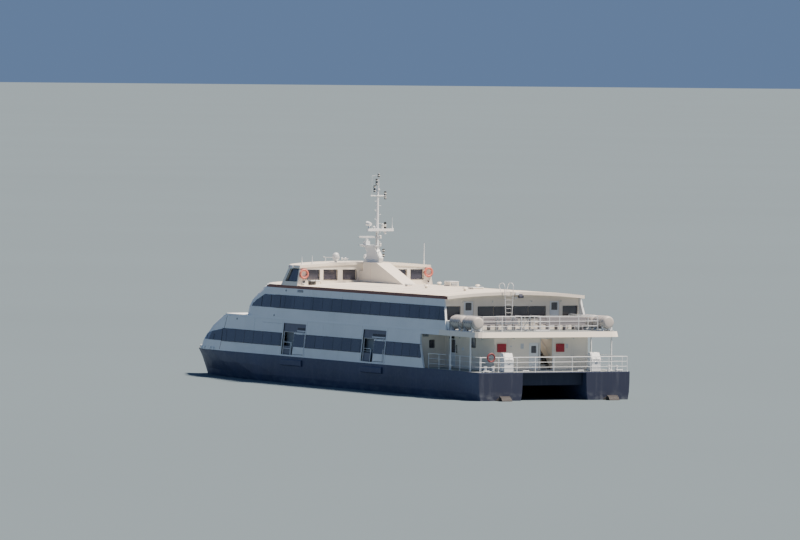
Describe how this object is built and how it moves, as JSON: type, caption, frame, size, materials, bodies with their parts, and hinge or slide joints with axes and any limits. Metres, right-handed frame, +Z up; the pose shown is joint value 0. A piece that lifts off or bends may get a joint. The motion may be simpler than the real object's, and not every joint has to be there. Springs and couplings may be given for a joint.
{
  "type": "passenger ferry, half-scale model",
  "caption": "Twin-hulled passenger ferry with enclosed saloons on separate decks, full-width wheelhouse, signal mast, open aft decks, sliding side doors and steerable water jets",
  "frame": {"origin": "on the waterline plane, amidships, on the centreline", "axes": "+X to the bow, +Y to port, +Z up"},
  "size_m": [24.7613, 6.15, 8.51],
  "materials": {
    "hull_paint": "dark navy marine paint, semi-gloss",
    "white_paint": "white marine paint, semi-gloss",
    "cream_paint": "warm white marine paint, satin",
    "deck_paint": "grey non-slip deck paint",
    "tinted_glass": "dark tinted bonded glazing",
    "rail_metal": "white-painted tube",
    "bare_aluminium": "mill finish with tread pattern",
    "equipment_plastic": "glass-fibre housing",
    "raft_plastic": "glass-fibre canister",
    "jet_metal": "cast stainless steel"
  },
  "bodies": {
    "root": {"hull_port": "hull_paint", "hull_starboard": "hull_paint", "bridge_deck": "hull_paint", "main_deck": "deck_paint", "bow_fairing": "white_paint", "aft_bulkhead": "cream_paint", "stair": "bare_aluminium", "upper_deck": "cream_paint", "upper_front": "white_paint", "roof": "cream_paint", "upper_aft_wall": "cream_paint", "wheelhouse": "cream_paint", "wheelhouse_roof": "white_paint", "mast_casing": "cream_paint", "mast": "white_paint", "satellite_dome": "equipment_plastic", "upper_deck_rail": "rail_metal", "main_deck_aft_rail": "rail_metal", "roof_ladder": "rail_metal", "window_band_front_upper": "tinted_glass", "window_band_front_lower": "tinted_glass", "wheelhouse_glass": "tinted_glass", "gangway": "bare_aluminium", "side_wall_lower_port": "white_paint", "side_wall_upper_port": "white_paint", "aft_house_port": "cream_paint", "window_band_lower_aft_port": "tinted_glass", "window_band_lower_middle_port": "tinted_glass", "window_band_lower_forward_port": "tinted_glass", "window_band_upper_port": "tinted_glass", "deck_benches_port": "bare_aluminium", "life_rafts_port": "raft_plastic", "walkway_rail_port": "rail_metal", "jet_housing_port": "jet_metal", "side_wall_lower_starboard": "white_paint", "side_wall_upper_starboard": "white_paint", "aft_house_starboard": "cream_paint", "window_band_lower_aft_starboard": "tinted_glass", "window_band_lower_middle_starboard": "tinted_glass", "window_band_lower_forward_starboard": "tinted_glass", "window_band_upper_starboard": "tinted_glass", "deck_benches_starboard": "bare_aluminium", "life_rafts_starboard": "raft_plastic", "walkway_rail_starboard": "rail_metal", "jet_housing_starboard": "jet_metal"},
    "side_door_forward_port": {"side_door_forward_port": "white_paint"},
    "side_door_aft_port": {"side_door_aft_port": "white_paint"},
    "side_door_forward_starboard": {"side_door_forward_starboard": "white_paint"},
    "side_door_aft_starboard": {"side_door_aft_starboard": "white_paint"},
    "aft_door": {"aft_door": "white_paint"},
    "upper_door_port": {"upper_door_port": "white_paint"},
    "upper_door_starboard": {"upper_door_starboard": "white_paint"},
    "walkway_door_port": {"walkway_door_port": "white_paint"},
    "walkway_door_starboard": {"walkway_door_starboard": "white_paint"},
    "radar_scanner": {"radar_scanner": "equipment_plastic"},
    "jet_nozzle_port": {"jet_nozzle_port": "jet_metal"},
    "jet_bucket_port": {"jet_bucket_port": "jet_metal"},
    "jet_nozzle_starboard": {"jet_nozzle_starboard": "jet_metal"},
    "jet_bucket_starboard": {"jet_bucket_starboard": "jet_metal"}
  },
  "joints": [
    {"name": "side_door_forward_port_slide", "type": "slide", "parent": "root", "child": "side_door_forward_port", "axis": [1, 0, 0], "range_m": [0, 0.86]},
    {"name": "side_door_aft_port_slide", "type": "slide", "parent": "root", "child": "side_door_aft_port", "axis": [1, 0, 0], "range_m": [0, 0.845]},
    {"name": "side_door_forward_starboard_slide", "type": "slide", "parent": "root", "child": "side_door_forward_starboard", "axis": [1, 0, 0], "range_m": [0, 0.86]},
    {"name": "side_door_aft_starboard_slide", "type": "slide", "parent": "root", "child": "side_door_aft_starboard", "axis": [1, 0, 0], "range_m": [0, 0.845]},
    {"name": "aft_door_hinge", "type": "hinge", "parent": "root", "child": "aft_door", "pos_m": [-11.0875, 0.479, 1.5], "axis": [0, 0, 1], "range_deg": [-100, 0]},
    {"name": "upper_door_port_hinge", "type": "hinge", "parent": "root", "child": "upper_door_port", "pos_m": [-8.8375, 1.919, 2.9], "axis": [0, 0, 1], "range_deg": [-100, 0]},
    {"name": "upper_door_starboard_hinge", "type": "hinge", "parent": "root", "child": "upper_door_starboard", "pos_m": [-8.8375, -1.919, 2.9], "axis": [0, 0, 1], "range_deg": [0, 100]},
    {"name": "walkway_door_port_hinge", "type": "hinge", "parent": "root", "child": "walkway_door_port", "pos_m": [-7.686, 1.8625, 1.5], "axis": [0, 0, 1], "range_deg": [-100, 0]},
    {"name": "walkway_door_starboard_hinge", "type": "hinge", "parent": "root", "child": "walkway_door_starboard", "pos_m": [-7.686, -1.8625, 1.5], "axis": [0, 0, 1], "range_deg": [0, 100]},
    {"name": "radar_spin", "type": "hinge", "parent": "root", "child": "radar_scanner", "pos_m": [2.575, 0, 5.35], "axis": [0, 0, 1], "continuous": true},
    {"name": "jet_nozzle_port_steer", "type": "hinge", "parent": "root", "child": "jet_nozzle_port", "pos_m": [-12.295, 2.15, -0.125], "axis": [0, 0, 1], "range_deg": [-30, 30]},
    {"name": "jet_bucket_port_lower", "type": "hinge", "parent": "jet_nozzle_port", "child": "jet_bucket_port", "pos_m": [-12.345, 2.15, -0.125], "axis": [0, 1, 0], "range_deg": [-60, 0]},
    {"name": "jet_nozzle_starboard_steer", "type": "hinge", "parent": "root", "child": "jet_nozzle_starboard", "pos_m": [-12.295, -2.15, -0.125], "axis": [0, 0, 1], "range_deg": [-30, 30]},
    {"name": "jet_bucket_starboard_lower", "type": "hinge", "parent": "jet_nozzle_starboard", "child": "jet_bucket_starboard", "pos_m": [-12.345, -2.15, -0.125], "axis": [0, 1, 0], "range_deg": [-60, 0]}
  ]
}
